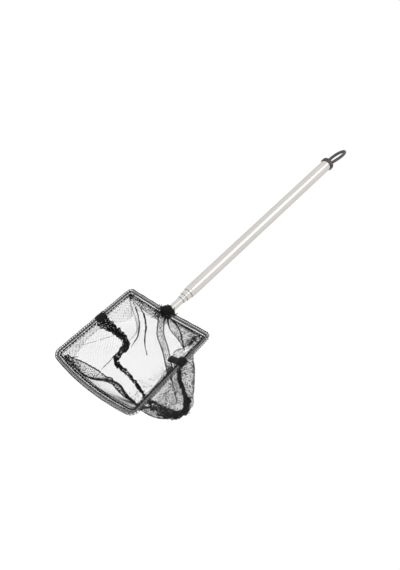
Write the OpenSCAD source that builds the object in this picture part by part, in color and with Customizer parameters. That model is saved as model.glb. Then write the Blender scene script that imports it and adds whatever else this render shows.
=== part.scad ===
// Leaf skimmer net: a mesh bag on a bent wire hoop, at the end of a telescopic aluminium pole.
// The origin is the middle of the grip tube, on its axis. +X runs along the pole to the end cap,
// the hoop lies at the other end, and +Z is up, out of the mouth of the bag.

/* [Pole] */
// Outside diameter of the grip tube, the largest stage
grip_d = 22; // [20:0.5:26]
// Length of the grip tube
grip_len = 410; // [340:5:480]
// Step in diameter from one stage to the next
stage_step = 3; // [2.8:0.1:3.4]
// Wall of every tube
tube_wall = 0.9; // [0.7:0.05:1.0]
// Length of the second stage that shows when the pole is closed
second_show = 11; // [8:1:20]
// Length of the third stage that shows when the pole is closed
third_show = 8; // [7:1:20]
// Distance from the mouth of the third stage to the outside of the hoop
front_show = 31; // [28:1:60]
// Length of the swaged neck at a stage's mouth
neck_len = 4; // [3:0.5:6]
// Length of the cone between a tube's body and its neck
swage_len = 1.5; // [1:0.25:3]
// Running clearance on radius between a neck and the stage in it
neck_gap = 0.08; // [0.05:0.01:0.1]
// Rounding of a tube's rolled mouth
lip_round = 0.35; // [0.2:0.05:0.4]

/* [Bushes and friction rings] */
// Length of a bush over the tube that carries it
bush_grip_len = 30; // [20:1:40]
// Length of a bush's head, behind the tube
bush_head_len = 8; // [7:0.5:12]
// Running clearance on radius between a bush and the bore round it
bush_gap = 0.1; // [0.05:0.01:0.1]
// Width of a friction ring
ring_w = 3; // [2:0.25:4]
// Radial thickness of a friction ring
ring_t = 1; // [0.8:0.05:1.1]
// Running clearance on radius round a friction ring and under it
ring_gap = 0.04; // [0.02:0.01:0.1]
// Angle left open by the split in a friction ring, in degrees
ring_split = 12; // [6:1:30]
// Room along the pole between a friction ring and its groove
ring_play = 0.2; // [0.1:0.05:0.4]
// Space between the rear ends of two nested stages
rear_step = 3; // [2:0.5:8]

/* [End cap] */
// Diameter of the end cap's flange
cap_d = 25.6; // [24:0.2:32]
// Thickness of the flange
cap_flange = 6.2; // [4:0.2:9]
// Rounding of the flange's outer edge
cap_round = 1.6; // [0.5:0.1:2]
// Bevel of the flange's edge at the tube
cap_bevel = 0.6; // [0.2:0.1:1.5]
// Length of the plug inside the grip tube
plug_len = 22; // [14:1:30]
// Clearance on radius between the plug's ribs and the bore
plug_fit = 0.05; // [0.02:0.01:0.1]
// Depth of the grooves between the plug's ribs
plug_groove = 0.8; // [0.4:0.1:1.2]
// Reach of the hanging loop behind the flange
loop_len = 44; // [30:1:60]
// Diameter of the hanging loop's strand
loop_strand = 5.5; // [4:0.25:6]
// Distance between the middles of the loop's two strands
loop_span = 11.4; // [10:0.2:14]
// Solid root between the flange and the loop's eye
loop_root = 6; // [4:0.5:10]
// Depth by which the loop is sunk into the flange
loop_sink = 2; // [1:0.5:4]
// Angle by which the soft loop hangs below the pole's axis
loop_droop = 11; // [0:1:20]

/* [Hoop] */
// Diameter of the hoop's wire
wire_d = 3.6; // [3:0.1:3.8]
// Outside half width of the hoop on the pole's side
near_half = 112; // [100:1:130]
// Lean of the hoop's sides, in degrees, which makes the far side wider
side_lean = 2.2; // [0:0.1:6]
// Length of the hoop from its near side to its far corners
hoop_len = 192; // [160:1:220]
// Half of the angle over which the far side bows outwards
bow_angle = 8.5; // [4:0.5:14]
// Depth of the dip in the near side, at the pole
near_dip = 2.6; // [0:0.2:6]
// Outside radius of the near corners
near_corner = 10.6; // [10:0.2:20]
// Outside radius of the far corners
far_corner = 17.5; // [14:0.5:30]
// Radius of the wire's bends at the pole
throat_bend = 8; // [6:0.5:10]
// Height of the hoop's plane over the pole's axis
hoop_rise = 2; // [1.9:0.1:2.2]
// Gap between the wire's two tangs
tang_gap = 0.4; // [0.2:0.1:0.5]
// Length of each tang
tang_len = 36; // [24:1:50]

/* [Hem] */
// Radius of the hem's roll round the wire
hem_r = 4.6; // [4:0.1:5]
// Clearance on radius between the wire and the hem
hem_gap = 0.1; // [0.05:0.05:0.3]
// Reach of the stitched hem inwards from the wire
flap_w = 9.5; // [8:0.5:12]
// Thickness of the stitched hem
flap_t = 1.2; // [1:0.1:1.6]
// Half width of the gap that the hem leaves at the pole
hem_start = 17; // [15:1:24]
// Distance from the hoop's near edge to the middle of the left seam wrap
left_anchor = 81; // [60:1:110]
// Distance from the hoop's near edge to the middle of the right seam wrap
right_anchor = 67; // [50:1:110]
// Length of a seam wrap along the hoop
wrap_len = 16; // [10:1:20]
// Thickness of a seam wrap
wrap_t = 1.4; // [1:0.1:2]
// Clearance between a seam wrap and the hem
wrap_gap = 0.1; // [0.05:0.05:0.3]

/* [Bag] */
// Thickness of the mesh panels
mesh_t = 1.2; // [0.8:0.1:1.6]
// Thickness of the seam band that joins the panels
band_t = 2.2; // [1.6:0.1:3]
// Half width of the seam band
band_half = 5; // [3:0.5:6]
// Gap between a panel's edge and the seam band
band_gap = 0.4; // [0.3:0.05:0.6]
// Gap between a panel's top edge and the hem above it
rim_gap = 0.35; // [0.3:0.05:0.6]
// Inset of a panel's top edge from the wire
rim_inset = 8; // [7:0.5:9]
// Reach of the far panel's belly below and behind the seam
far_belly = 11; // [0:1:16]
// Slack of the far panel away from the pole, below its left half
far_slack = 17; // [0:1:24]
// Reach of the near panel's belly towards the pole
near_belly = 5; // [0:1:12]
// Depth of the tuck below the near right corner
corner_tuck = 10; // [0:1:14]
// Reach of the near panel's belly at the bottom of its right half
low_belly = 8; // [0:1:12]
// Reach of both panels' bellies towards the sides
side_belly = 5; // [0:1:12]
// Openings across each panel, which stand for its fine mesh
net_across = 12; // [6:1:12]
// Openings down each panel
net_down = 6; // [3:1:8]
// Share of each step of the net that its bars take
net_bar = 0.16; // [0.12:0.02:0.4]

/* [Throat] */
// Half width of the gathered mesh at the pole
gather_half = 16.6; // [14:0.2:23]
// Thickness of the gathered mesh over the front tube
gather_t = 2.2; // [1.6:0.1:3]
// Length of gathered mesh past the lashing
gather_tail = 1.6; // [1:0.1:5]
// Diameter of the lashing cord
tie_cord = 2.2; // [1.6:0.1:2.6]
// Number of turns of the lashing
tie_turns = 4; // [2:1:5]
// Diameter of the rivet through the front tube
rivet_d = 2.4; // [2:0.1:2.6]
// Distance of the rivet from the front tube's end
rivet_inset = 5; // [4:0.5:8]

/* [Hidden] */
$fn = 64;

// Radii of the stages, from the grip tube inwards
grip_r = grip_d / 2;
second_r = grip_r - stage_step / 2;
third_r = second_r - stage_step / 2;
front_r = third_r - stage_step / 2;

// Places of the mouths and rear ends along the pole
grip_mouth = -grip_len / 2;
grip_rear = grip_len / 2;
second_mouth = grip_mouth - second_show;
third_mouth = second_mouth - third_show;
near_edge = third_mouth - front_show;
second_rear = grip_rear - plug_len - bush_head_len - rear_step;
third_rear = second_rear - rear_step;
front_rear = third_rear - rear_step;

// The hoop's wire: its half loop is a chain of straights and bends, from the tang to the far side
wire_r = wire_d / 2;
tang_y = wire_r + tang_gap / 2;
near_x = near_edge - hem_r;
near_y = near_half - hem_r;
near_tilt = atan(near_dip / near_y);
near_r = near_corner - hem_r;
far_r = far_corner - hem_r;
near_turn = 90 + near_tilt - side_lean;
far_turn = 90 + side_lean - bow_angle;
near_cut = near_r * tan(near_turn / 2);
near_run = (near_y - tang_y - throat_bend * (1 + sin(near_tilt))) / cos(near_tilt) - near_cut;
side_run = (hoop_len - 2 * hem_r - far_r) / cos(side_lean) - near_cut;
far_y = near_y + (side_run + near_cut) * sin(side_lean) + far_r * (sin(bow_angle) - cos(side_lean));
bow_r = far_y / sin(bow_angle);
tang_x = near_x - (near_run + near_cut) * sin(near_tilt) + throat_bend * cos(near_tilt);
tube_setback = 1;
front_end = tang_x + tube_setback;
hem_under = hoop_rise - flap_t / 2;

// A step is [length, turn, radius]: a straight has turn 0, and a left bend turns by a positive angle.
// The bow is a step of its own that crosses to the hoop's other side.
hoop_steps = [
    [tang_len, 0, 0],
    [0, -90 - near_tilt, throat_bend],
    [near_run, 0, 0],
    [0, near_turn, near_r],
    [side_run, 0, 0],
    [0, far_turn, far_r],
    [0, 2 * bow_angle, bow_r]];
TANG = 0;
NEAR = 2;
SIDE = 4;
FAR = 5;
BOW = 6;

// The gathered mesh and its lashing
gather_r = front_r + gather_t;
gather_skin = 1;
gather_shift = 2;
gather_lead = 4;
gather_roll_r = hem_r + gather_skin;
gather_x = near_x + gather_shift;
tie_clear = 0.6;
tie_gap = 0.05;
tie_pitch = 0.92 * tie_cord;
tie_start = gather_x + gather_roll_r + tie_clear;
gather_end = tie_start + tie_turns * tie_pitch + gather_tail;
rivet_x = front_end + rivet_inset;
rivet_z = -0.4 * front_r;
rivet_proud = 0.2;
press_gap = 0.05;
gather_fit = 0.1;
block_inset = 0.5;
block_tail = 4;

// Extra length of a solid that only cuts, so that it comes out of what it cuts
cut_over = 1;

// Places of the hem's ends, as distances along the near side and along the two other sides
bare_run = hem_start - tang_y - throat_bend;
left_at = left_anchor - near_corner;
right_at = right_anchor - near_corner;
hem_split = 0.4;
corner_ease = 0.1;

// A place on the hoop is [x, y, heading]
hoop_start = [tang_x + tang_len, tang_y, 180];
function side_of(p, d) = [p.x - d * sin(p.z), p.y + d * cos(p.z)];
function bend_end(p, turn, r) =
    let (c = side_of(p, sign(turn) * r), a = p.z + turn)
    [c.x + sign(turn) * r * sin(a), c.y - sign(turn) * r * cos(a), a];
function moved(p, step, part) =
    step[1] == 0
        ? [p.x + part * step[0] * cos(p.z), p.y + part * step[0] * sin(p.z), p.z]
        : bend_end(p, part * step[1], step[2]);
function place_at(i) = i == 0 ? hoop_start : moved(place_at(i - 1), hoop_steps[i - 1], 1);

// Points along some steps of the hoop, moved inwards by a distance
bend_parts = 5;
function inset_points(first, last, inset) = [
    for (i = [first : last])
        let (parts = hoop_steps[i][1] == 0 ? 1 : i == BOW ? 2 * bend_parts : bend_parts)
        for (k = [0 : parts - (i == last ? 0 : 1)])
            side_of(moved(place_at(i), hoop_steps[i], k / parts), inset)];
function side_point(d, inset) = side_of(moved(place_at(SIDE), [d, 0, 0], 1), inset);
function near_point(d, inset) = side_of(moved(place_at(NEAR), [d, 0, 0], 1), inset);
function reversed(list) = [for (i = [len(list) - 1 : -1 : 0]) list[i]];
function mirrored(list) = [for (p = list) [p.x, -p.y]];
function run_to(points, i) = i == 0 ? 0 : run_to(points, i - 1) + norm(points[i] - points[i - 1]);
function along(points, runs, d, i = 1) =
    i >= len(points) - 1 || d <= runs[i]
        ? points[i - 1] + (points[i] - points[i - 1]) * (d - runs[i - 1]) / (runs[i] - runs[i - 1])
        : along(points, runs, d, i + 1);

// The seam's route round the bag, as [behind the near edge, across, below the hoop's plane]
seam_clear = 2;
seam_tuck = 3;
seam_top = hem_r + wrap_t + seam_clear;
seam_route = [
    [left_anchor, near_y - seam_tuck, -seam_top],
    [77, 99, -36],
    [81, 91, -67],
    [93, 87, -89],
    [104, 78, -113],
    [109, 59, -139],
    [111, 35, -163],
    [109, 6, -184],
    [102, -22, -190],
    [93, -50, -178],
    [85, -66, -154],
    [80, -78, -110],
    [77, -86, -60],
    [72, -97, -24],
    [right_anchor, seam_tuck - near_y, -seam_top]];
seam_points = [for (p = seam_route) [near_edge - p.x, p.y, hoop_rise + p.z]];
function spline(p0, p1, p2, p3, f) =
    0.5 * (2 * p1 + f * (p2 - p0) + f * f * (2 * p0 - 5 * p1 + 4 * p2 - p3)
        + f * f * f * (3 * p1 - p0 - 3 * p2 + p3));
function pick(list, i) = list[min(max(i, 0), len(list) - 1)];
function seam_at(s) =
    let (place = s * (len(seam_points) - 1), i = min(floor(place), len(seam_points) - 2))
    spline(pick(seam_points, i - 1), seam_points[i], seam_points[i + 1], pick(seam_points, i + 2), place - i);

// Rims of the two panels, from the left seam wrap to the right one
rim_margin = 4;
rim_clear = wrap_len / 2 + rim_margin;
rim_z = hem_under - rim_gap - mesh_t / 2;
function near_half_rim(at) = concat(
    [near_point(bare_run, rim_inset)],
    inset_points(NEAR + 1, NEAR + 1, rim_inset),
    [side_point(at - rim_clear, rim_inset)]);
near_rim = concat(reversed(near_half_rim(left_at)), mirrored(near_half_rim(right_at)));
far_rim = concat(
    [side_point(left_at + rim_clear, rim_inset)],
    inset_points(FAR, BOW, rim_inset),
    mirrored(reversed(inset_points(FAR, FAR, rim_inset))),
    mirrored([side_point(right_at + rim_clear, rim_inset)]));
near_runs = [for (i = [0 : len(near_rim) - 1]) run_to(near_rim, i)];
far_runs = [for (i = [0 : len(far_rim) - 1]) run_to(far_rim, i)];
function rim_at(rim, runs, s) =
    let (p = along(rim, runs, s * runs[len(runs) - 1]))
    [p.x, p.y, rim_z];

// A panel hangs from its rim to the seam, with its slack and its belly added
// A row of slack is [middle across, reach, middle down, reach, shift]. All but the shift are shares.
near_slacks = [
    [0.50, 0.50, 0.50, 0.50, near_belly * [1, 0, -1]],
    [0.86, 0.15, 0.30, 0.30, corner_tuck * [-1, 1, 0]],
    [0.72, 0.20, 0.80, 0.20, low_belly * [0.75, -1.1, -0.9]]];
far_slacks = [
    [0.62, 0.40, 0.75, 0.25, far_belly * [-1, 0, -0.8]],
    [0.33, 0.15, 0.38, 0.38, far_slack * [-1, 0, 0]]];
heading_step = 0.01;
function unit(v) = v / norm(v);
function seam_heading(s) = unit(seam_at(min(s + heading_step, 1)) - seam_at(max(s - heading_step, 0)));
function square_to(v, w) = unit(v - w * (v * w));
function edge_at(rim, runs, s, d) =
    seam_at(s) + d * square_to(rim_at(rim, runs, s) - seam_at(s), seam_heading(s));
function hump(f) = f <= 0 || f >= 1 ? 0 : sin(180 * f);
function bump(f, middle, reach) =
    abs(f - middle) >= reach ? 0 : pow(cos(90 * (f - middle) / reach), 2);
function slack_at(rows, s, t, i = 0) =
    i >= len(rows)
        ? [0, side_belly * sin(360 * s) * hump(t), 0]
        : bump(s, rows[i][0], rows[i][1]) * bump(t, rows[i][2], rows[i][3]) * rows[i][4]
            + slack_at(rows, s, t, i + 1);
function panel_point(rim, runs, slack, s, t) =
    let (top = rim_at(rim, runs, s), low = edge_at(rim, runs, s, band_half + band_gap))
    top + (low - top) * t + slack_at(slack, s, t);

// Places of the net's bars: a bar takes one step of the grid, and an opening takes two
function net_places(count) = concat(
    [0],
    [for (k = [0 : count - 1]) each [k + net_bar / 2, k + 0.5, k + 1 - net_bar / 2] / count],
    [1]);
function panel_grid(rim, runs, slack) = [
    for (t = net_places(net_down))
        [for (s = net_places(net_across)) panel_point(rim, runs, slack, s, t)]];
band_grid = [
    for (j = [-2 : 2])
        [for (s = net_places(net_across))
            let (d = abs(j) * band_half / 2)
            j < 0 ? edge_at(far_rim, far_runs, s, d) : edge_at(near_rim, near_runs, s, d)]];

// ---------- shared shapes ----------

// Lays a shape that was drawn round the Z axis along the pole
module on_pole(x) {
    translate([x, 0, 0]) rotate([0, 90, 0]) children();
}

// One step of the hoop, drawn from a 2D section whose first axis points left of the heading.
// The steps lap each other a little, and a corner is drawn a hair thinner, by $ease, so that they join.
module step_solid(i, from, to) {
    turn = hoop_steps[i][1];
    r = hoop_steps[i][2];
    lap = 0.05;
    over = r > 0 ? lap / r * 180 / PI : 0;
    $ease = turn == 0 || i == BOW ? 0 : corner_ease;
    $room = turn == 0 ? 2 * flap_w : r;
    if (turn == 0)
        translate([from - lap, 0, 0]) rotate([90, 0, 90]) linear_extrude(to - from + 2 * lap) children();
    else if (turn > 0)
        translate([0, r, 0]) rotate([0, 0, -90 - over])
            rotate_extrude(angle = turn + 2 * over, $fn = 56) translate([r, 0]) mirror([1, 0]) children();
    else
        translate([0, -r, 0]) rotate([0, 0, 90 + turn - over])
            rotate_extrude(angle = 2 * over - turn, $fn = 56) translate([r, 0]) children();
}

// A stretch of one half of the hoop. Its two ends are [step, distance along it].
module stretch(from, to) {
    for (i = [from[0] : to[0]]) {
        p = place_at(i);
        translate([p.x, p.y, hoop_rise]) rotate([0, 0, p.z])
            step_solid(i, i == from[0] ? from[1] : 0, i == to[0] ? to[1] : hoop_steps[i][0]) children();
    }
}

// A sheet of even thickness through a grid of points. A net has openings, but none in its end columns.
module sheet(grid, thick, is_net = false) {
    rows = len(grid);
    cols = len(grid[0]);
    function is_hole(j, i) = is_net && j % 3 > 0 && i % 3 > 0 && i > 3 && i < cols - 5;
    function is_cell(j, i) = j >= 0 && j < rows - 1 && i >= 0 && i < cols - 1 && !is_hole(j, i);
    function across(j, i) = grid[min(j + 1, rows - 1)][i] - grid[max(j - 1, 0)][i];
    function down(j, i) = grid[j][min(i + 1, cols - 1)] - grid[j][max(i - 1, 0)];
    function lifted(j, i, d) = grid[j][i] + d * unit(cross(across(j, i), down(j, i)));
    function at(side, j, i) = side * rows * cols + j * cols + i;
    function wall(j, i, j2, i2) = [
        [at(0, j, i), at(1, j, i), at(1, j2, i2)],
        [at(0, j, i), at(1, j2, i2), at(0, j2, i2)]];
    points = [for (side = [0, 1]) for (j = [0 : rows - 1]) for (i = [0 : cols - 1])
        lifted(j, i, (side - 0.5) * thick)];
    faces = [for (j = [0 : rows - 2]) for (i = [0 : cols - 2]) if (is_cell(j, i)) each concat(
        [[at(0, j, i), at(0, j, i + 1), at(0, j + 1, i + 1)],
         [at(0, j, i), at(0, j + 1, i + 1), at(0, j + 1, i)],
         [at(1, j, i), at(1, j + 1, i + 1), at(1, j, i + 1)],
         [at(1, j, i), at(1, j + 1, i), at(1, j + 1, i + 1)]],
        is_cell(j - 1, i) ? [] : wall(j, i, j, i + 1),
        is_cell(j + 1, i) ? [] : wall(j + 1, i + 1, j + 1, i),
        is_cell(j, i - 1) ? [] : wall(j + 1, i, j, i),
        is_cell(j, i + 1) ? [] : wall(j, i + 1, j + 1, i + 1))];
    polyhedron(points, faces);
}

// A stage with a swaged neck that guides the stage inside it
module necked_tube(r, inner_r, mouth, rear) {
    neck_bore = inner_r + neck_gap;
    neck_r = neck_bore + tube_wall;
    bore = r - tube_wall;
    on_pole(mouth) rotate_extrude() polygon([
        [neck_bore, lip_round],
        [neck_bore + lip_round, 0],
        [neck_r - lip_round, 0],
        [neck_r, lip_round],
        [neck_r, neck_len],
        [r, neck_len + swage_len],
        [r, rear - mouth],
        [bore, rear - mouth],
        [bore, neck_len + swage_len],
        [neck_bore, neck_len]]);
}

// A bush that sits over a tube's rear end and carries a friction ring in its head
module rear_bush(r, bore, rear) {
    head_r = bore - bush_gap;
    groove_r = bore - ring_gap - ring_t - ring_gap;
    groove_w = ring_w + ring_play;
    groove_z = bush_grip_len + (bush_head_len - groove_w) / 2;
    on_pole(rear - bush_grip_len) rotate_extrude() polygon([
        [r, 0],
        [head_r, 0],
        [head_r, groove_z],
        [groove_r, groove_z],
        [groove_r, groove_z + groove_w],
        [head_r, groove_z + groove_w],
        [head_r, bush_grip_len + bush_head_len],
        [r - tube_wall, bush_grip_len + bush_head_len],
        [r - tube_wall, bush_grip_len],
        [r, bush_grip_len]]);
}

// A split ring in the groove of a bush
module friction_ring(bore, rear) {
    ring_r = bore - ring_gap;
    on_pole(rear + (bush_head_len - ring_w) / 2) rotate([0, 0, ring_split / 2])
        rotate_extrude(angle = 360 - ring_split) translate([ring_r - ring_t, 0]) square([ring_t, ring_w]);
}

// Section of the hem: the roll round the wire and the stitched flap inside the hoop.
// A bend that is too tight for the flap has the roll alone, and the straights' flaps meet inside it.
module hem_section(grow) {
    half = flap_t / 2 + grow - $ease;
    circle(r = hem_r + grow - $ease, $fn = 32);
    if (flap_w + grow < $room)
        translate([0, -half]) square([flap_w + grow - $ease, 2 * half]);
}

module hollow_hem_section() {
    difference() {
        hem_section(0);
        circle(r = wire_r + hem_gap + $ease, $fn = 24);
    }
}

module wrap_section() {
    difference() {
        hem_section(wrap_t);
        hem_section(wrap_gap);
    }
}

module wire_section(gap) {
    circle(r = wire_r + gap - $ease / 2, $fn = 24);
}

// ---------- pole ----------

module grip_tube() {
    color([0.80, 0.80, 0.78]) necked_tube(grip_r, second_r, grip_mouth, grip_rear);
}

module second_tube() {
    color([0.80, 0.80, 0.78]) necked_tube(second_r, third_r, second_mouth, second_rear);
}

module third_tube() {
    color([0.80, 0.80, 0.78]) necked_tube(third_r, front_r, third_mouth, third_rear);
}

module front_tube() {
    color([0.82, 0.82, 0.80]) difference() {
        on_pole(front_end) cylinder(r = front_r, h = front_rear - front_end);
        on_pole(front_end - cut_over)
            cylinder(r = front_r - tube_wall, h = front_rear - front_end + 2 * cut_over);
        rivet_hole(press_gap);
    }
}

module second_bush() {
    color([0.90, 0.90, 0.86]) rear_bush(second_r, grip_r - tube_wall, second_rear);
}

module third_bush() {
    color([0.90, 0.90, 0.86]) rear_bush(third_r, second_r - tube_wall, third_rear);
}

module front_bush() {
    color([0.90, 0.90, 0.86]) rear_bush(front_r, third_r - tube_wall, front_rear);
}

module second_ring() {
    color([0.15, 0.15, 0.16]) friction_ring(grip_r - tube_wall, second_rear);
}

module third_ring() {
    color([0.15, 0.15, 0.16]) friction_ring(second_r - tube_wall, third_rear);
}

module front_ring() {
    color([0.15, 0.15, 0.16]) friction_ring(third_r - tube_wall, front_rear);
}

// ---------- end cap ----------

module cap_plug() {
    plug_r = grip_r - tube_wall - plug_fit;
    core_r = plug_r - plug_groove;
    ribs = 4;
    crest = 0.5;
    crest_end = 0.8;
    pitch = plug_len / ribs;
    on_pole(grip_rear - plug_len) rotate_extrude() polygon(concat(
        [[0, 0]],
        [for (i = [0 : ribs - 1]) each [
            [core_r, i * pitch],
            [plug_r, (i + crest) * pitch],
            [plug_r, (i + crest_end) * pitch],
            [core_r, (i + crest_end) * pitch],
            [core_r, (i + 1) * pitch]]],
        [[0, plug_len]]));
}

module cap_flange_disc() {
    cap_r = cap_d / 2;
    on_pole(grip_rear) rotate_extrude() {
        polygon([
            [0, 0],
            [cap_r - cap_bevel, 0],
            [cap_r, cap_bevel],
            [cap_r, cap_flange - cap_round],
            [cap_r - cap_round, cap_flange - cap_round],
            [cap_r - cap_round, cap_flange],
            [0, cap_flange]]);
        translate([cap_r - cap_round, cap_flange - cap_round]) circle(r = cap_round);
    }
}

// The eye's strands run from the root to a half ring at the tip
module hanging_loop() {
    strand_r = loop_strand / 2;
    half_span = loop_span / 2;
    eye_r = half_span - strand_r;
    straight_end = loop_len - strand_r - half_span;
    for (side = [-1, 1])
        translate([-loop_sink, side * half_span, 0]) rotate([0, 90, 0])
            cylinder(r = strand_r, h = straight_end + loop_sink);
    translate([straight_end, 0, 0]) rotate([0, 0, -90])
        rotate_extrude(angle = 180) translate([half_span, 0]) circle(r = strand_r);
    difference() {
        translate([-loop_sink, -half_span, -strand_r])
            cube([loop_root + eye_r + loop_sink, loop_span, loop_strand]);
        translate([loop_root + eye_r, 0, -loop_strand]) cylinder(r = eye_r, h = 2 * loop_strand);
    }
}

module end_cap() {
    color([0.20, 0.19, 0.20]) {
        cap_plug();
        cap_flange_disc();
        translate([grip_rear + cap_flange, 0, 0]) rotate([0, loop_droop, 0]) hanging_loop();
    }
}

// ---------- head ----------

module rivet_hole(gap) {
    translate([rivet_x, 0, rivet_z]) rotate([90, 0, 0])
        cylinder(r = rivet_d / 2 + gap, h = 2 * gather_r, center = true);
}

module tangs(gap) {
    for (side = [-1, 1])
        translate([front_end - cut_over, side * tang_y, hoop_rise]) rotate([0, 90, 0])
            cylinder(r = wire_r + gap, h = tang_len + 2 * cut_over);
}

module tang_plug() {
    color([0.12, 0.12, 0.13]) difference() {
        on_pole(front_end + block_inset)
            cylinder(r = front_r - tube_wall - press_gap, h = tang_len + block_tail);
        tangs(press_gap);
        rivet_hole(press_gap);
    }
}

module plug_rivet() {
    color([0.75, 0.75, 0.74]) translate([rivet_x, 0, rivet_z]) rotate([90, 0, 0])
        cylinder(r = rivet_d / 2, h = 2 * (front_r + rivet_proud), center = true);
}

module hoop_wire() {
    color([0.10, 0.10, 0.11]) {
        stretch([TANG, 0], [BOW, 0]) wire_section(0);
        mirror([0, 1, 0]) stretch([TANG, 0], [FAR, 0]) wire_section(0);
    }
}

module near_hem() {
    color([0.16, 0.16, 0.17]) {
        stretch([NEAR, bare_run], [SIDE, left_at - hem_split / 2]) hollow_hem_section();
        mirror([0, 1, 0]) stretch([NEAR, bare_run], [SIDE, right_at - hem_split / 2]) hollow_hem_section();
    }
}

module far_hem() {
    color([0.16, 0.16, 0.17]) {
        stretch([SIDE, left_at + hem_split / 2], [BOW, 0]) hollow_hem_section();
        mirror([0, 1, 0]) stretch([SIDE, right_at + hem_split / 2], [FAR, 0]) hollow_hem_section();
    }
}

module seam_wrap(at) {
    stretch([SIDE, at - wrap_len / 2], [SIDE, at + wrap_len / 2]) wrap_section();
}

module left_wrap() {
    color([0.07, 0.07, 0.08]) seam_wrap(left_at);
}

module right_wrap() {
    color([0.07, 0.07, 0.08]) mirror([0, 1, 0]) seam_wrap(right_at);
}

module near_panel() {
    color([0.30, 0.30, 0.31]) sheet(panel_grid(near_rim, near_runs, near_slacks), mesh_t, true);
}

module far_panel() {
    color([0.30, 0.30, 0.31]) sheet(panel_grid(far_rim, far_runs, far_slacks), mesh_t, true);
}

module seam_band() {
    color([0.07, 0.07, 0.08]) sheet(band_grid, band_t);
}

// Gathered mesh that is pulled round the end of the front tube and the wire's two bends
module throat_gather() {
    apron_x = near_x - near_dip - flap_w;
    color([0.07, 0.07, 0.08]) difference() {
        union() {
            on_pole(front_end - gather_lead) cylinder(r = gather_r, h = gather_end - front_end + gather_lead);
            translate([gather_x, 0, hoop_rise]) rotate([90, 0, 0])
                cylinder(r = gather_roll_r, h = 2 * gather_half, center = true);
            translate([apron_x, -gather_half, hem_under]) cube([gather_x - apron_x, 2 * gather_half, flap_t]);
        }
        on_pole(front_end - gather_fit)
            cylinder(r = front_r + gather_fit, h = gather_end - front_end + cut_over);
        for (side = [0, 1])
            mirror([0, side, 0]) stretch([TANG, 0], [NEAR, bare_run + cut_over]) wire_section(gather_fit);
        rivet_hole(2 * gather_fit);
    }
}

// Lashing cord wound round the gathered mesh on the front tube
module throat_tie() {
    color([0.05, 0.05, 0.06]) on_pole(tie_start) rotate_extrude()
        for (i = [0 : tie_turns - 1])
            translate([gather_r + tie_cord / 2 + tie_gap, (i + 0.5) * tie_pitch])
                circle(d = tie_cord, $fn = 24);
}

grip_tube();
second_tube();
third_tube();
front_tube();
second_bush();
third_bush();
front_bush();
second_ring();
third_ring();
front_ring();
end_cap();
tang_plug();
plug_rivet();
hoop_wire();
near_hem();
far_hem();
left_wrap();
right_wrap();
near_panel();
far_panel();
seam_band();
throat_gather();
throat_tie();
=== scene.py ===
"""The looks of the leaf skimmer net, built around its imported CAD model.

Lengths are in mm until a mesh is made. Left and right are as the photograph shows them: left is +y.
"""
import math

import bpy
import numpy as np
from mathutils import Matrix, Vector


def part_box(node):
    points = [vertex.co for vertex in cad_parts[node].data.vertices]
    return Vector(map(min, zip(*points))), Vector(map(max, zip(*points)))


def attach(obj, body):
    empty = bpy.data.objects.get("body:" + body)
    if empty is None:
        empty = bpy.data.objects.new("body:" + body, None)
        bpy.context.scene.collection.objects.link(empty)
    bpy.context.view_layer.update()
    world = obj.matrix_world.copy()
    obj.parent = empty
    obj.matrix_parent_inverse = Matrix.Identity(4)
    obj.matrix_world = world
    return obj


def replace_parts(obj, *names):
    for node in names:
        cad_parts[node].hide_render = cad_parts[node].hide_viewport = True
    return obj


MM = 0.001
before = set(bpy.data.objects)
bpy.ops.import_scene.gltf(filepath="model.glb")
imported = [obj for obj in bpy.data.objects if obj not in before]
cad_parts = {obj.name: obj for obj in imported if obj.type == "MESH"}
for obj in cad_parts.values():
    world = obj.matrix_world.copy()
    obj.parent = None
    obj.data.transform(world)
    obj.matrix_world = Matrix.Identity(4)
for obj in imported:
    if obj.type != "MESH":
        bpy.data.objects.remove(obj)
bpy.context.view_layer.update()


def node_box(node):
    """Lowest and highest corner of a CAD node, in mm."""
    return tuple(np.array(corner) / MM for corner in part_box(node))


# ---------- sizes, from the frame ----------
near_lo, near_hi = node_box("near_hem")
NEAR_EDGE = near_hi[0]
HOOP_Z = (near_lo[2] + near_hi[2]) / 2
HOOP_LEN = 192.0     # from the hem's near edge to its far one
HEM_R = 4.6          # radius of the hem's roll
NEAR_R = 6.0         # bends of the hoop's wire at the near corners, at its centre line
FAR_R = 12.9         # and at the far corners
NEAR_Y = 107.4       # half width of the wire at the near corners, if they were sharp
NEAR_DIP = 2.6       # the middle of the near side lies this far inside its corners
BOW_ANGLE = math.radians(8.5)        # half the angle that the far side's bow turns through
SIDE_LEAN = math.radians(2.2)        # the sides spread by this towards the far side


# ---------- meshes ----------
TINY = 1e-9          # stands for a length of 0 in divisions
UPRIGHT = 0.8        # an upright thread has this much of its direction along z


def placed(name, data):
    """A new object in the scene."""
    thing = bpy.data.objects.new(name, data)
    bpy.context.scene.collection.objects.link(thing)
    return thing


def make(name, verts, faces, mat, body="head", slot="mesh"):
    """A mesh object from points in mm, riding on a body."""
    mesh = bpy.data.meshes.new(name)
    verts = np.asarray(verts, float) * MM
    faces = np.asarray(faces, np.int32)
    sides = faces.shape[1]
    mesh.vertices.add(len(verts))
    mesh.vertices.foreach_set("co", verts.ravel())
    mesh.loops.add(faces.size)
    mesh.loops.foreach_set("vertex_index", faces.ravel())
    mesh.polygons.add(len(faces))
    mesh.polygons.foreach_set("loop_start", np.arange(len(faces), dtype=np.int32) * sides)
    mesh.update(calc_edges=True)
    mesh.polygons.foreach_set("use_smooth", np.ones(len(faces), bool))
    mesh.materials.append(mat)
    mesh.validate()
    piece = placed(name, mesh)
    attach(piece, body)
    return piece


def unit(v):
    """Directions brought to length 1."""
    return v / np.maximum(np.linalg.norm(v, axis=-1, keepdims=True), TINY)


def ring_turns(sides):
    """Angles of a ring's corners."""
    return np.arange(sides) * 2 * math.pi / sides


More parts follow.
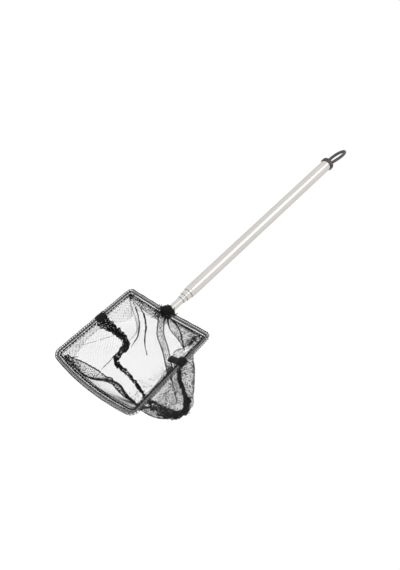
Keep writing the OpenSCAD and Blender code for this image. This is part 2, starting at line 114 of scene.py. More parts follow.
def ring_offsets(side, up, sides):
    """Corners of a ring round each point, from its directions side and up."""
    turns = ring_turns(sides)
    return side[:, None] * np.cos(turns)[None, :, None] + up[:, None] * np.sin(turns)[None, :, None]


def ring_quads(first, second, sides):
    """Quads between two rings of vertices, given by their places among all rings."""
    k = np.arange(sides)
    k2 = (k + 1) % sides
    return np.stack([first * sides + k, first * sides + k2, second * sides + k2, second * sides + k], axis=1)


def struts(a, b, radius, sides=3):
    """Thin straight threads from each point in a to its partner in b, as open prisms."""
    a, b = np.asarray(a, float), np.asarray(b, float)
    along = unit(b - a)
    helper = np.where(np.abs(along[:, 2:3]) < UPRIGHT, [[0.0, 0, 1]], [[1.0, 0, 0]])
    side = unit(np.cross(along, helper))
    up = np.cross(along, side)
    radius = np.broadcast_to(np.asarray(radius, float), (len(a),))
    ring = ring_offsets(side, up, sides) * radius[:, None, None]
    verts = np.concatenate([a[:, None] + ring, b[:, None] + ring], axis=1).reshape(-1, 3)
    base = (np.arange(len(a)) * 2 * sides)[:, None, None]
    return verts, (ring_quads(0, 1, sides)[None] + base).reshape(-1, 4)


def sweep(path, radius, sides, closed=False, squash=1.0, up=(0, 0, 1)):
    """A tube along a path. radius may be one number or one for each point."""
    path = np.asarray(path, float)
    n = len(path)
    if closed:
        along = unit(np.roll(path, -1, 0) - np.roll(path, 1, 0))
    else:
        along = unit(np.gradient(path, axis=0))
    ups = np.zeros_like(path)
    ref = np.asarray(up, float)
    for i in range(n):
        ref = ref - along[i] * np.dot(ref, along[i])
        ref = ref / max(np.linalg.norm(ref), TINY)
        ups[i] = ref
    side = np.cross(along, ups)
    radius = np.broadcast_to(np.asarray(radius, float), (n,))[:, None, None]
    verts = (path[:, None] + ring_offsets(side, squash * ups, sides) * radius).reshape(-1, 3)
    rows = n if closed else n - 1
    return verts, np.concatenate([ring_quads(j, (j + 1) % n, sides) for j in range(rows)])


def joined(parts):
    """Several (verts, faces) pairs as one."""
    verts, faces, base = [], [], 0
    for v, f in parts:
        verts.append(v)
        faces.append(f + base)
        base += len(v)
    return np.concatenate(verts), np.concatenate(faces)


# ---------- curves ----------
SPLINE_STEPS = 24    # points from one place of a smooth curve to the next


def points_of(x, y, z):
    """Points from their coordinates, where one number may stand for all of them."""
    return np.stack(np.broadcast_arrays(x, y, z), axis=-1)


def run_of(path):
    """Distance along a path at each of its points."""
    return np.r_[0, np.cumsum(np.linalg.norm(np.diff(path, axis=0), axis=1))]


def points_at(path, marks, places):
    """Points of a path at places, where marks has the place of each point that it is made of."""
    return np.stack([np.interp(places, marks, path[:, k]) for k in range(path.shape[1])], axis=-1)


def resampled(path, count):
    """A path with count points at even distances."""
    run = run_of(path)
    return points_at(path, run, np.linspace(0, run[-1], count))


def spline(points, count):
    """A smooth curve through points, at count places evenly spaced along it."""
    p = np.asarray(points, float)
    p = np.vstack([2 * p[0] - p[1], p, 2 * p[-1] - p[-2]])
    f = np.linspace(0, 1, SPLINE_STEPS, endpoint=False)[:, None]
    out = []
    for a, b, c, d in zip(p, p[1:], p[2:], p[3:]):
        out.append(0.5 * (2 * b + f * (c - a) + f * f * (2 * a - 5 * b + 4 * c - d)
                          + f * f * f * (3 * b - a - 3 * c + d)))
    out.append(p[-2][None])
    return resampled(np.vstack(out), count)


def mirrored(half):
    """A line in a plane, followed by its mirror image in the x axis back to where it starts."""
    half = np.asarray(half, float)
    return np.vstack([half, (half * [1, -1])[::-1][1:]])


# ---------- the hoop ----------
LEAST_STEPS = 10     # on a stretch of the wire
HOOP_POINTS = 900
SIDE_Y = 90          # the hoop's left and right sides lie further out than this,
SIDE_END = 170       # and less than this behind the near edge
LEFT_WRAP = 81.0     # distance of each seam wrap from the near edge
RIGHT_WRAP = 67.0


def half_hoop():
    """One half of the wire's centre line, in the hoop's plane, from the middle of the near side."""
    tilt = math.atan(NEAR_DIP / NEAR_Y)
    near_turn = math.pi / 2 + tilt - SIDE_LEAN
    far_turn = math.pi / 2 + SIDE_LEAN - BOW_ANGLE
    near_cut = NEAR_R * math.tan(near_turn / 2)
    side_run = (HOOP_LEN - 2 * HEM_R - FAR_R) / math.cos(SIDE_LEAN) - near_cut
    far_y = (NEAR_Y + (side_run + near_cut) * math.sin(SIDE_LEAN)
             + FAR_R * (math.sin(BOW_ANGLE) - math.cos(SIDE_LEAN)))
    bow_r = far_y / math.sin(BOW_ANGLE)
    # Length and turn of each stretch
    stretches = ((NEAR_Y / math.cos(tilt) - near_cut, 0), (near_turn * NEAR_R, near_turn), (side_run, 0),
                 (far_turn * FAR_R, far_turn), (BOW_ANGLE * bow_r, BOW_ANGLE))
    at = np.array([NEAR_EDGE - HEM_R - NEAR_DIP, 0.0])
    heading = math.pi / 2 - tilt
    points = [at]
    for length, turn in stretches:
        steps = max(int(length), LEAST_STEPS)
        for _ in range(steps):
            heading += turn / steps / 2
            at = at + length / steps * np.array([math.cos(heading), math.sin(heading)])
            heading += turn / steps / 2
            points.append(at)
    return np.array(points)


class Hoop:
    """The wire's closed centre line, with its inward direction.

    It starts at the middle of the near side and goes left.
    """

    def __init__(self):
        self.path = resampled(mirrored(half_hoop()), HOOP_POINTS)
        self.run = run_of(self.path)
        self.length = self.run[-1]
        ahead = np.gradient(self.path, axis=0)
        ahead[0] = ahead[-1] = [0, 1]
        ahead = unit(ahead)
        self.inward = np.stack([-ahead[:, 1], ahead[:, 0]], axis=-1)

    def at(self, run, inset, drop):
        """Points at distances run along the wire, moved inwards by inset and down by drop."""
        run = np.mod(np.asarray(run, float), self.length)
        inward = unit(points_at(self.inward, self.run, run))
        flat = points_at(self.path, self.run, run) + inward * np.asarray(inset)[..., None]
        z = HOOP_Z - np.broadcast_to(drop, flat.shape[:-1])
        return np.concatenate([flat, z[..., None]], axis=-1)

    def run_at(self, behind, left):
        """Distance along the wire of the place on its left or right side that lies behind the near edge."""
        half = self.run < self.length / 2 if left else self.run > self.length / 2
        on_side = half & (np.abs(self.path[:, 1]) > SIDE_Y) & (self.path[:, 0] > NEAR_EDGE - SIDE_END)
        error = np.abs(self.path[on_side, 0] - (NEAR_EDGE - behind))
        return self.run[on_side][np.argmin(error)]


hoop = Hoop()
left_run = hoop.run_at(LEFT_WRAP, True)
right_run = hoop.run_at(RIGHT_WRAP, False)


# ---------- the bag's surface ----------
# The seam between the two panels: behind the near edge, across, and below the hoop's plane
SEAM = ((82, 108, 8), (80, 107, 18), (76, 101, 32), (72, 93, 46), (71, 86, 60), (76, 82, 74), (87, 85, 80),
        (102, 88, 86), (107, 86, 94), (107, 78, 107), (105, 65, 120), (106, 53, 133), (109, 38, 148),
        (111, 21, 164), (109, 1, 180), (100, -22, 188), (90, -43, 181), (84, -59, 161), (79, -69, 138),
        (77, -75, 100), (75, -79, 66), (72, -86, 38), (70, -96, 16), (67, -106, 8))
SEAM_POINTS = 400
seam_path = spline([(NEAR_EDGE - b, y, HOOP_Z - d) for b, y, d in SEAM], SEAM_POINTS)
RIM_INSET = 5.5      # the net's top edge lies this far inside the wire,
RIM_DROP = 2.0       # and this far below it
BAG_MIDDLE = np.array([NEAR_EDGE - 95, 0, HOOP_Z - 60])
# Slack in the panels: middle and reach in s, middle and reach in t, and the shift in x, y and z
SLACK = {
    "near": ((0.50, 0.50, 0.50, 0.50, (5, 0, -5)),
             (0.20, 0.17, 0.50, 0.50, (6, -36, 0)),
             (0.86, 0.15, 0.30, 0.30, (-10, 10, 0)),
             (0.70, 0.22, 0.80, 0.22, (3, -4, -7)),
             (0.80, 0.12, 0.88, 0.14, (3, -6, -3)),
             (0.77, 0.12, 0.66, 0.22, (2, -3, 0)),
             (0.67, 0.13, 0.94, 0.10, (4, -7, -5))),
    "far": ((0.62, 0.40, 0.75, 0.25, (-12, 0, -11)),
            (0.33, 0.15, 0.38, 0.38, (-17, 0, 0)),
            (0.42, 0.10, 0.45, 0.35, (11, 0, 5)),
            (0.64, 0.10, 0.93, 0.10, (5, -7, -6)),
            (0.72, 0.09, 0.90, 0.12, (3, -8, -5)))}
SIDE_SLACK = 5       # sideways sway of the panels between rim and seam


def rim(side, s):
    """The panel's top edge under the hem, at shares s from the left wrap to the right one."""
    last_run = right_run - hoop.length if side == "near" else right_run
    return hoop.at(left_run + s * (last_run - left_run), RIM_INSET, RIM_DROP)


def seam(s):
    """Points of the seam at shares s of its length, from the left wrap."""
    return points_at(seam_path, np.linspace(0, 1, SEAM_POINTS), s)


def bump(f, middle, reach):
    """A soft hump of height 1 round middle, which is 0 past its reach."""
    d = np.clip(np.abs(f - middle) / reach, 0, 1)
    return np.cos(d * math.pi / 2) ** 2


def surface(side, s, t):
    """A point of a panel: s goes from the left wrap to the right one, and t from the rim to the seam."""
    s, t = np.broadcast_arrays(np.asarray(s, float), np.asarray(t, float))
    top, low = rim(side, s), seam(s)
    p = top + (low - top) * t[..., None]
    for s_mid, s_reach, t_mid, t_reach, shift in SLACK[side]:
        p = p + (bump(s, s_mid, s_reach) * bump(t, t_mid, t_reach))[..., None] * np.array(shift, float)
    p[..., 1] += SIDE_SLACK * np.sin(2 * np.pi * s) * np.sin(np.pi * np.clip(t, 0, 1))
    return p


def normals(grid):
    """Directions off a grid of points."""
    return unit(np.cross(np.gradient(grid, axis=0), np.gradient(grid, axis=1)))


def turned_in(face, points):
    """Normals at points, each turned to the bag's inside."""
    return face * np.sign(np.sum(face * (BAG_MIDDLE - points), axis=-1, keepdims=True))


# ---------- materials ----------
NOISE_LOW = 0.3      # nearly all of a noise's values lie between these two
NOISE_HIGH = 0.7
EDGE_SHADE_TINT = (0.72, 0.71, 0.70, 1)    # painted shade: the aluminium's reflection is darker where it is seen edge on
TUBE_CLOUD = 0.03    # how much the aluminium's colour changes
FIBRE_SPECULAR = 0.13
FIBRE_SHEEN = 0.02
WIRE_COAT = 0.3


def material(name, colour, rough, metal=0.0):
    """A material of one colour, with its node tree and its shader."""
    mat = bpy.data.materials.new(name)
    mat.use_nodes = True
    shader = mat.node_tree.nodes["Principled BSDF"]
    shader.inputs["Base Color"].default_value = (*colour, 1)
    shader.inputs["Roughness"].default_value = rough
    shader.inputs["Metallic"].default_value = metal
    return mat, mat.node_tree, shader


def added(tree, kind, **values):
    """A new node with values on its inputs, in whose names an _ stands for a space."""
    node = tree.nodes.new("ShaderNode" + kind)
    for name, value in values.items():
        node.inputs[name.replace("_", " ")].default_value = value
    return node


def noise(tree, scale, detail=4.0, stretch=(1, 1, 1), rough=0.6):
    """Noise in the piece's own coordinates, at scale waves to a metre."""
    coord = added(tree, "TexCoord")
    mapping = added(tree, "Mapping", Scale=stretch)
    field = added(tree, "TexNoise", Scale=scale, Detail=detail, Roughness=rough)
    tree.links.new(coord.outputs["Object"], mapping.inputs["Vector"])
    tree.links.new(mapping.outputs["Vector"], field.inputs["Vector"])
    return field.outputs["Fac"]


def ramp(tree, field, stops):
    """Colours over a field's values, from (value, colour) pairs."""
    node = added(tree, "ValToRGB")
    points = node.color_ramp.elements
    while len(points) < len(stops):
        points.new(0.5)
    for point, (value, colour) in zip(points, stops):
        point.position = value
        point.color = (*colour, 1)
    tree.links.new(field, node.inputs["Fac"])
    return node.outputs["Color"]


def spread(tree, field, low, high):
    """A noise stretched to run from low to high."""
    node = added(tree, "MapRange", From_Min=NOISE_LOW, From_Max=NOISE_HIGH, To_Min=low, To_Max=high)
    tree.links.new(field, node.inputs["Value"])
    return node.outputs["Result"]


def bumped(tree, shader, field, strength, depth_mm):
    """Gives a shader the relief of a field."""
    node = added(tree, "Bump", Strength=strength, Distance=depth_mm * MM)
    tree.links.new(field, node.inputs["Height"])
    tree.links.new(node.outputs["Normal"], shader.inputs["Normal"])


def fibre(name, dark, light, rough=0.55, scale=900):
    """Nylon thread or tape: dark, with paler stretches at random that partly paint highlights, and a faint
    sheen.
    """
    mat, tree, shader = material(name, dark, rough)
    # paler stretches: random tone, and partly painted highlight on the strands
    tone_and_highlight = ramp(tree, noise(tree, scale), ((0.35, dark), (0.7, light)))
    polish = spread(tree, noise(tree, scale * 3), rough - 0.12, rough + 0.12)
    tree.links.new(tone_and_highlight, shader.inputs["Base Color"])
    tree.links.new(polish, shader.inputs["Roughness"])
    shader.inputs["Specular IOR Level"].default_value = FIBRE_SPECULAR
    shader.inputs["Sheen Weight"].default_value = FIBRE_SHEEN
    return mat


def brushed_metal(name, colour, rough):
    """Drawn aluminium: a faint grain along the pole, and small changes in its colour and polish."""
    mat, tree, shader = material(name, colour, rough, metal=1.0)
    # painted shade: the tint darkens the reflection where the tube is seen edge on
    shader.inputs["Specular Tint"].default_value = EDGE_SHADE_TINT
    grain = noise(tree, 2400, detail=6, stretch=(0.012, 1, 1), rough=0.7)
    cloud = noise(tree, 45, detail=3, stretch=(0.4, 1, 1))
    low = tuple(c * (1 - TUBE_CLOUD) for c in colour)
    high = tuple(min(c * (1 + TUBE_CLOUD), 1) for c in colour)
    tree.links.new(ramp(tree, cloud, ((NOISE_LOW, low), (NOISE_HIGH, high))), shader.inputs["Base Color"])
    tree.links.new(spread(tree, grain, rough - 0.07, rough + 0.07), shader.inputs["Roughness"])
    bumped(tree, shader, grain, strength=0.12, depth_mm=0.05)
    return mat


def moulded(name, dark, light, rough, grain_scale=1500, depth=0.06):
    """Moulded plastic, vinyl, rubber or felt: a fine grain, and a surface that is a little uneven."""
    mat, tree, shader = material(name, dark, rough)
    cloud = noise(tree, 120, detail=5)
    grain = noise(tree, grain_scale, detail=3)
    tree.links.new(ramp(tree, cloud, ((0.3, dark), (0.75, light))), shader.inputs["Base Color"])
    tree.links.new(spread(tree, cloud, rough - 0.08, rough + 0.1), shader.inputs["Roughness"])
    bumped(tree, shader, grain, strength=0.35, depth_mm=depth)
    return mat


net_mat = fibre("net_thread", (0.012, 0.011, 0.012), (0.040, 0.037, 0.037))
hem_mat = fibre("sleeve_thread", (0.030, 0.028, 0.029), (0.095, 0.088, 0.088))
stitch_mat = fibre("stitching", (0.003, 0.003, 0.003), (0.012, 0.012, 0.012), 0.5, 1500)
tape_mat = fibre("binding_strands", (0.0025, 0.0025, 0.003), (0.024, 0.022, 0.022), 0.5, 700)
fold_mat = fibre("folded_net", (0.012, 0.010, 0.011), (0.060, 0.048, 0.044), 0.55, 300)
cord_mat = fibre("lashing_cord", (0.004, 0.004, 0.0045), (0.028, 0.027, 0.028), 0.45, 1200)
tube_mat = brushed_metal("drawn_aluminium", (0.664, 0.642, 0.618), 0.24)
rivet_mat = brushed_metal("rivet_aluminium", (0.62, 0.62, 0.61), 0.35)
wire_mat = moulded("coated_wire", (0.28, 0.26, 0.255), (0.42, 0.395, 0.39), 0.38, 2500, 0.03)
cap_mat = moulded("soft_vinyl", (0.012, 0.010, 0.011), (0.120, 0.100, 0.104), 0.30, 1100, 0.10)
bush_mat = moulded("natural_nylon", (0.74, 0.73, 0.68), (0.82, 0.81, 0.77), 0.45)
ring_mat = moulded("friction_rubber", (0.012, 0.012, 0.013), (0.030, 0.030, 0.032), 0.75)
# painted shadow: dark grey of the rings that stand for the shade in the gaps at the tubes' mouths
shadow_ring_mat = moulded("painted_gap_shadow", (0.13, 0.125, 0.12), (0.24, 0.23, 0.22), 0.8)
plug_mat = moulded("black_plastic", (0.010, 0.010, 0.011), (0.022, 0.022, 0.024), 0.5)
wire_mat.node_tree.nodes["Principled BSDF"].inputs["Coat Weight"].default_value = WIRE_COAT

NODE_MATERIALS = {
    tube_mat: ("grip_tube", "second_tube", "third_tube", "front_tube"),
    bush_mat: ("second_bush", "third_bush", "front_bush"),
    ring_mat: ("second_ring", "third_ring", "front_ring"),
    plug_mat: ("tang_plug",), rivet_mat: ("plug_rivet",), wire_mat: ("hoop_wire",)}
for mat, nodes in NODE_MATERIALS.items():
    for node in nodes:
        for place in bpy.data.objects[node].material_slots:
            place.material = mat

# ---------- end cap and stage mouths ----------
GRIP_END = node_box("grip_tube")[1][0]
CAP_R = node_box("end_cap")[1][1] + 0.7      # the photograph's flange is larger than the solid's
CAP_SIDES = 56
PLUG_R = 9.4
PLUG_LEN = 14
FLANGE = 7.8         # thickness of the flange
AXIS_R = 0.01        # the profile starts and ends this close to the axis
# The cap's profile as (x, radius): plug, lip and groove from the tube's end,
CAP_FRONT = ((-PLUG_LEN, AXIS_R), (-PLUG_LEN, PLUG_R - 0.6), (1 - PLUG_LEN, PLUG_R), (0, PLUG_R),
             (0, CAP_R - 0.5), (0.5, CAP_R), (1.8, CAP_R), (2.2, CAP_R - 0.35), (2.6, CAP_R))
# and the rounded edge from the flange's rear face
CAP_REAR = ((-1.8, CAP_R - 0.1), (-0.8, CAP_R - 0.7), (-0.2, CAP_R - 1.7), (0, CAP_R - 3), (0, AXIS_R))
LOOP_R = 3.1         # radius of the hanging loop's strand
LOOP_SIDES = 20
LOOP_DROOP = math.radians(8)
# Half of the hanging loop's centre line: distance behind the flange, and half width
LOOP_HALF = ((-2, 5.6), (6, 6.2), (18, 7.1), (32, 7.3), (43, 6.0), (50, 3.4), (53, 0))
WEB_R = 5.2          # half width of the web between loop and flange
WEB_SLOPE = 0.19
SHADOW_RING_R = 0.36       # radius of the dark strand that paints the shadow in a mouth's gap
SHADOW_RING_GAP = 0.45     # from the inner tube to that strand's middle
SHADOW_RING_AHEAD = 0.15   # from the outer tube's mouth to its middle
SHADOW_RING_POINTS = 48


def revolved(profile, sides):
    """A solid turned round the pole's axis from (x, radius)."""
    x, radius = np.array(profile, float).T[:, :, None]
    turns = ring_turns(sides)
    ring = points_of(x, radius * np.cos(turns), radius * np.sin(turns))
    faces = np.concatenate([ring_quads(j, j + 1, sides) for j in range(len(profile) - 1)])
    return ring.reshape(-1, 3), faces


def end_cap():
    """The soft cap: a plug inside the tube, a rounded flange and a drooping hanging loop."""
    rear = GRIP_END + FLANGE
    profile = [(GRIP_END + x, r) for x, r in CAP_FRONT] + [(rear + x, r) for x, r in CAP_REAR]
    behind, across = spline(mirrored(LOOP_HALF), 64).T
    loop = points_of(rear + behind * math.cos(LOOP_DROOP), across, -behind * math.sin(LOOP_DROOP))
    behind = np.linspace(-2, 5, 8)
    web = points_of(rear + behind, 0, -WEB_SLOPE * behind)
    parts = [revolved(profile, CAP_SIDES), sweep(loop, LOOP_R, LOOP_SIDES),
             sweep(web, WEB_R, LOOP_SIDES, squash=0.5)]
    return make("soft_end_cap", *joined(parts), cap_mat, "grip", "cap")


def shadow_ring(outer, inner, body):
    """A thin dark ring at the mouth of the outer tube, round the inner one: painted shadow of the gap
    between the two.
    """
    mouth = node_box(outer)[0][0]
    radius = node_box(inner)[1][1] + SHADOW_RING_GAP
    w = np.linspace(0, 2 * math.pi, SHADOW_RING_POINTS, endpoint=False)
    ring = points_of(mouth - SHADOW_RING_AHEAD, radius * np.cos(w), radius * np.sin(w))
    make(outer + "_wiper", *sweep(ring, SHADOW_RING_R, 8, closed=True, up=(1, 0, 0)), shadow_ring_mat, body, "ring")


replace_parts(end_cap(), "end_cap")
# dark rings of painted shadow at the mouths of the stages
shadow_ring("grip_tube", "second_tube", "grip")
shadow_ring("second_tube", "third_tube", "second")
shadow_ring("third_tube", "front_tube", "third")

# ---------- the net ----------
MESH_PITCH = 2.9     # from one column of nodes to the next
THREAD_R = 0.125
FACING_PITCH = 3.5   # the facing is a second layer of net under the hem
FACING_R = 0.20
FACING_LIFT = 0.9
ROW_SHARE = 0.87     # from one row of nodes to the next, in pitches
HEX_SHIFT = 0.17     # how far nodes move to make hexagons, in rows
KNOT_R = 0.85        # of the thick stitches that speckle the net
NET_SPAN = (0.004, 0.996)        # s of the net's first and last columns
COUNT_T = 0.45       # the share of the depth where columns are counted
LINE_POINTS = 90
THREAD_STEP = 2.5    # of the thread under a row of stitches
# The bag is bunched low on the right: weight of right against low, where it starts, and its reach
BUNCH_SIDE = 0.75
BUNCH_START = 93
BUNCH_REACH = 18
BUNCH_THICKER = 0.45
BUNCH_KNOTS = 0.19   # share of its nodes that have a knot
# The facing's depth: its mean, height, pace and start of its waves, and deeper places (extra, middle, reach)
FACING_FORM = {
    "near": (20, 4, 9, 0, ((26, 0.66, 0.1), (12, 0.15, 0.12))),
    "far": (17, 3, 11, 1, ((14, 0.22, 0.1),))}


def bunched(points):
    """How much the net is bunched at points: 0 where it hangs taut, and 1 low on the right."""
    return np.clip((-BUNCH_SIDE * points[..., 1] - points[..., 2] - BUNCH_START) / BUNCH_REACH, 0, 1)


def knots(points, share, radius, seed):
    """Short thick stitches at a share of the points, which speckle the net."""
    rng = np.random.default_rng(seed)
    points = points[rng.random(len(points)) < share]
    way = unit(rng.normal(0, 1, points.shape)) * radius
    return struts(points - way, points + way, radius, 4)


def dotted(path, step, length, dot_r, thread_r):
    """A thread along a path with a stitch of some length at every step."""
    run = run_of(path)
    start = np.arange(0, run[-1] - length, step)
    stitches = struts(points_at(path, run, start), points_at(path, run, start + length), dot_r, 6)
    thread = resampled(path, max(int(run[-1] / THREAD_STEP), 3))
    return joined([stitches, struts(thread[:-1], thread[1:], thread_r, 4)])


def panel_lines(side, columns):
    """Lines down a panel at even shares, with their running lengths."""
    s = np.linspace(*NET_SPAN, columns)
    t = np.linspace(0, 1, LINE_POINTS)
    lines = surface(side, s[:, None], t[None, :])
    steps = np.linalg.norm(np.diff(lines, axis=1), axis=2)
    return lines, np.concatenate([np.zeros((columns, 1)), np.cumsum(steps, axis=1)], axis=1)


def facing_depth(side, s):
    """Depth of the facing, which is uneven along the rim."""
    depth, height, pace, start, deeper = FACING_FORM[side]
    depth = depth + height * np.sin(pace * s + start)
    for extra, middle, reach in deeper:
        depth = depth + extra * bump(s, middle, reach)
    return depth


def facing_edge(side):
    """The lower edge of the facing."""
    depths = facing_depth(side, np.linspace(0, 1, LINE_POINTS))
    return np.stack([points_at(line, run, depth)
                     for line, run, depth in zip(*panel_lines(side, LINE_POINTS), depths)])


def net_grid(side, pitch, facing=False):
    """Nodes of a net: columns at even shares along the panel, rows at even distances down from the rim."""
    s = np.linspace(*NET_SPAN, 161)
    columns = int(run_of(surface(side, s, np.full_like(s, COUNT_T)))[-1] / pitch)
    lines, runs = panel_lines(side, columns)
    row_pitch = pitch * ROW_SHARE
    depth = row_pitch * np.arange(int(runs[:, -1].max() / row_pitch) + 2)
    end = runs[:, -1]
    grid = np.stack([points_at(line, run, depth) for line, run in zip(lines, runs)])
    if facing:
        end = np.minimum(end, facing_depth(side, np.linspace(0, 1, columns)))
        grid = grid + FACING_LIFT * normals(grid)
    return grid, depth[None, :] <= end[:, None]


def hexagons(grid, there=None):
    """Pairs of points of a hexagonal net through a grid of nodes, or through those that are there."""
    if there is None:
        there = np.ones(grid.shape[:2], bool)
    columns, rows = there.shape
    c, r = np.meshgrid(np.arange(columns), np.arange(rows), indexing="ij")
    up = (c + r) % 2
    down = np.zeros_like(grid)
    down[:, :-1] = grid[:, 1:] - grid[:, :-1]
    down[:, -1] = down[:, -2]
    node = grid + down * (HEX_SHIFT * (2 * up - 1))[..., None]
    slant = there[:-1] & there[1:]
    link = there[:, :-1] & there[:, 1:] & (up[:, :-1] == 1)
    return (np.concatenate([node[:-1][slant], node[:, :-1][link]]),
            np.concatenate([node[1:][slant], node[:, 1:][link]]))


for side in ("near", "far"):
    a, b = hexagons(*net_grid(side, MESH_PITCH))
    thick = bunched((a + b) / 2)
    halves = np.array_split(np.argsort(a[:, 1], kind="stable"), 2)
    for i, part in enumerate(halves):
        threads = struts(a[part], b[part], THREAD_R * (1 + BUNCH_THICKER * thick[part]))
        speckle = knots(a[part], BUNCH_KNOTS * thick[part], 0.95 * KNOT_R, seed=10 + i)
        piece = make(f"{side}_net_{i + 1}", *joined([threads, speckle]), net_mat)
        if i == 0:
            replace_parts(piece, side + "_panel")
    a, b = hexagons(*net_grid(side, FACING_PITCH, facing=True))
    speckle = knots(a, 0.12, 0.8 * KNOT_R, seed=12)
    edge = dotted(facing_edge(side), step=7.2, length=2.6, dot_r=0.32, thread_r=0.16)
    make(f"{side}_facing", *joined([struts(a, b, FACING_R), speckle, edge]), net_mat)


# ---------- hem ----------
RIB_PITCH = 4.7      # from one rib of the sleeve to the next
RIB_SIDES = 16
RIB_R = 0.20         # radius of a rib where it faces into the hoop
RIB_HEAVIER = 0.46   # how much more it has outside
RUN_R = 0.10         # radius of the sleeve's threads along the wire
# Rows of stitches: inset from the wire, drop below it, step, length and radius of a stitch, radius of its
# thread, and how far the row runs each way from the middle of the near side
HEM_ROWS = (
    ("edge", -3.6, -2.8, 3.6, 1.9, 0.42, 0.26, hoop.length / 2),
    ("near", -3.7, -2.9, 6.0, 3.2, 0.92, 0.46, 104),
    ("wire", 1.5, -2.0, 7.2, 3.6, 0.80, 0.46, hoop.length / 2),
    ("bold", 5.9, 0.5, 6.6, 3.4, 1.50, 0.70, hoop.length / 2),
    ("inner", 9.2, 1.0, 5.0, 2.4, 0.38, 0.14, hoop.length / 2))
ROW_SWAY = 0.3
# The strip of net inside the roll
STRIP_STEP = 2.8
STRIP_INSETS = (4.4, 6.8, 9.2)
STRIP_DROP = 0.4
STRIP_R = 0.17
# A loose flap of net inside the hem on the right
FLAP_START = 14      # distance from the wrap
FLAP_LEN = 72
FLAP_WIDE = 17       # width at its two ends
FLAP_NARROW = 1
FLAP_DROP = 1        # of its outer edge below the wire, and how much lower its inner edge is
FLAP_SAG = 5
FLAP_R = 0.24


def sleeve(first, last, name):
    """The knitted sleeve round the wire: ribs across it, heaviest outside, and fine threads along it."""
    run = np.linspace(first, last, int((last - first) / RIB_PITCH) * 2)
    turn = np.arange(RIB_SIDES + 1) * 2 * math.pi / RIB_SIDES
    swell = HEM_R * (0.95 + 0.03 * np.sin(run * 0.11) * np.cos(run * 0.037))
    rings = np.stack([hoop.at(run, swell * math.cos(w), swell * math.sin(w)) for w in turn], axis=1)
    heavy = rings[::2]
    outside = (1 - np.cos((turn[:-1] + turn[1:]) / 2)) / 2
    rib_r = np.broadcast_to(RIB_R + RIB_HEAVIER * outside, (len(heavy), RIB_SIDES))
    ribs = struts(heavy[:, :-1].reshape(-1, 3), heavy[:, 1:].reshape(-1, 3), rib_r.ravel(), 4)
    runs = struts(rings[:-1, :-1].reshape(-1, 3), rings[1:, :-1].reshape(-1, 3), RUN_R)
    return make(name, *joined([ribs, runs]), hem_mat, slot="hem")


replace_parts(sleeve(right_run - hoop.length, left_run, "near_sleeve"), "near_hem")
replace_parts(sleeve(left_run, right_run, "far_sleeve"), "far_hem")

for name, inset, drop, step, length, stitch_r, thread_r, reach in HEM_ROWS:
    row_run = np.linspace(-reach, reach, int(reach))
    sway = ROW_SWAY * np.sin(row_run * 0.21 + inset)
    row = dotted(hoop.at(row_run, inset + sway, drop), step, length, stitch_r, thread_r)
    make("hem_row_" + name, *row, stitch_mat, slot="hem")

strip_run = np.arange(0, hoop.length, STRIP_STEP)
strip_rows = np.stack([hoop.at(strip_run, inset, STRIP_DROP) for inset in STRIP_INSETS], axis=1)
make("hem_flap", *struts(*hexagons(strip_rows), STRIP_R), hem_mat, slot="hem")

flap_share = np.linspace(0, 1, 26)
flap_run = right_run - FLAP_START - FLAP_LEN * flap_share
flap_width = FLAP_WIDE - (FLAP_WIDE - FLAP_NARROW) * flap_share
flap_rows = np.stack([hoop.at(flap_run, RIM_INSET + flap_width * f, FLAP_DROP + FLAP_SAG * f)
                      for f in np.linspace(0, 1, 6)], axis=1)
flap_edge = dotted(flap_rows[:, -1], step=5.0, length=2.2, dot_r=0.4, thread_r=0.2)
make("side_flap", *joined([struts(*hexagons(flap_rows), FLAP_R), flap_edge]), net_mat)


# ---------- bundles of strands ----------
PHASES = 6.3         # waves start anywhere in about a full turn
EDGE_STEP = 3.5      # a bundle's ragged edge changes at this step,
EDGE_SPARE = 8       # and is drawn this far past its end
SCATTER = 0.55       # of a tangle's strands round its path, in reaches
CURL_POINTS = 8


def bundle(path, face, width, thick, count, radius, density, seed, ragged, cell=2.4, rough=0.0):
    """Ravelled strands along a path on a surface with normals face. Holes show where density is under 1."""
    rng = np.random.default_rng(seed)
    run = run_of(path)
    marks = np.arange(0, run[-1] + EDGE_SPARE, EDGE_STEP)
    edges = [np.interp(run, marks, rng.uniform(-1, 1, len(marks))) * rough for _ in range(2)]
    width = np.broadcast_to(np.asarray(width, float), (len(path),))
    density = np.broadcast_to(np.asarray(density, float), (len(path),))
    along = unit(np.gradient(path, axis=0))
    across = unit(np.cross(face, along))
    off = unit(np.cross(along, across))
    home = (np.arange(count) + 0.5) / count * 2 - 1
    rng.shuffle(home)
    holes = rng.random((int(run[-1] / cell) + 2, int(width.max() * 2 / cell) + 3))
    starts, ends, sizes = [], [], []
    for u0 in home:
        waves = [(rng.uniform(0.08, 0.7), rng.uniform(0, PHASES), rng.uniform(0.4, 1)) for _ in range(3)]
        sway = sum(a * np.sin(f * run + p) for f, p, a in waves) / 3
        lift = np.sin(rng.uniform(0.1, 0.6) * run + rng.uniform(0, PHASES))
        x = (u0 + ragged * sway) * width / 2 + u0 * edges[int(u0 > 0)]
        points = path + across * x[:, None] + off * (lift * thick / 2)[:, None]
        row = (run[:-1] / cell).astype(int)
        column = ((x[:-1] + width.max()) / cell).astype(int)
        kept = holes[row, np.clip(column, 0, holes.shape[1] - 1)] < density[:-1]
        starts.append(points[:-1][kept])
        ends.append(points[1:][kept])
        sizes.append(np.full(int(kept.sum()), radius * rng.uniform(0.7, 1.25)))
    return struts(np.concatenate(starts), np.concatenate(ends), np.concatenate(sizes))


